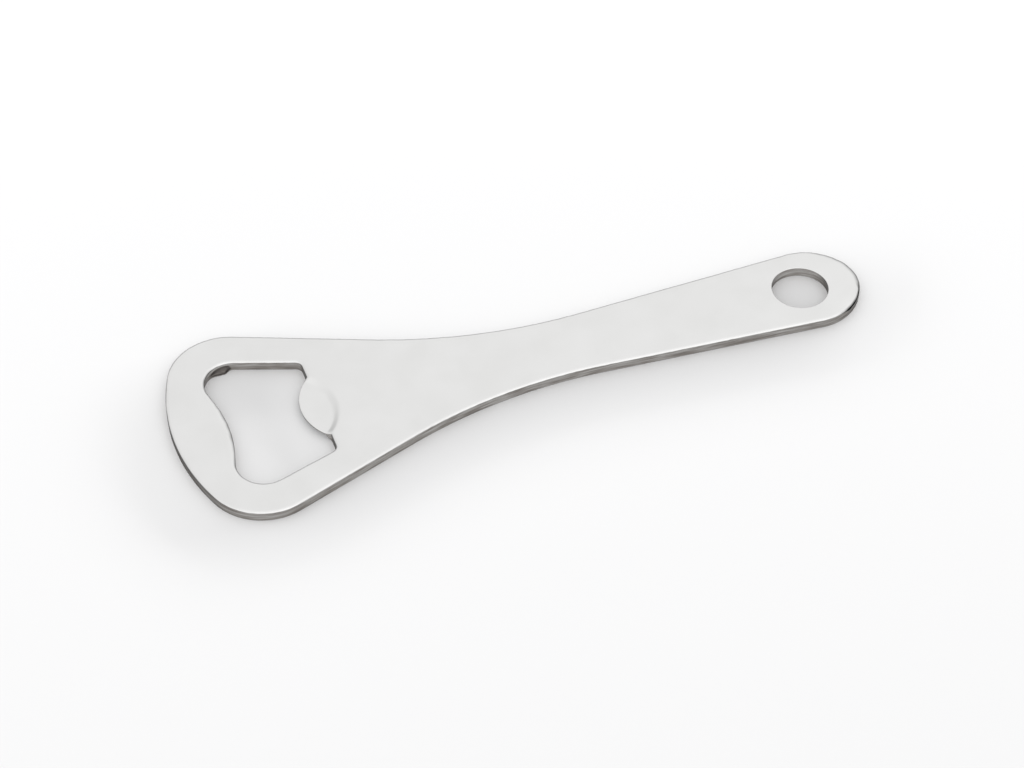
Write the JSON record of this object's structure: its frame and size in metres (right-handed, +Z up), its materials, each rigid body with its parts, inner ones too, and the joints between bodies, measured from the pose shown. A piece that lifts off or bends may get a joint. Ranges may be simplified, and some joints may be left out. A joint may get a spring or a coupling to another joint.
{
  "type": "bottle opener",
  "caption": "Flat sheet-steel bottle opener with a flared head, a cap opening with a coined lip, a waisted handle and a round key ring hole.",
  "frame": {"origin": "middle of the length and width, on the flat underside", "axes": "+X from the head to the end of the handle, +Y across the width, +Z up out of the top face"},
  "size_m": [0.1252, 0.0424, 0.002],
  "materials": {
    "plated_steel": "bright plated, tumbled to a soft satin shine"
  },
  "bodies": {
    "root": {"opener_plate": "plated_steel"}
  },
  "joints": []
}
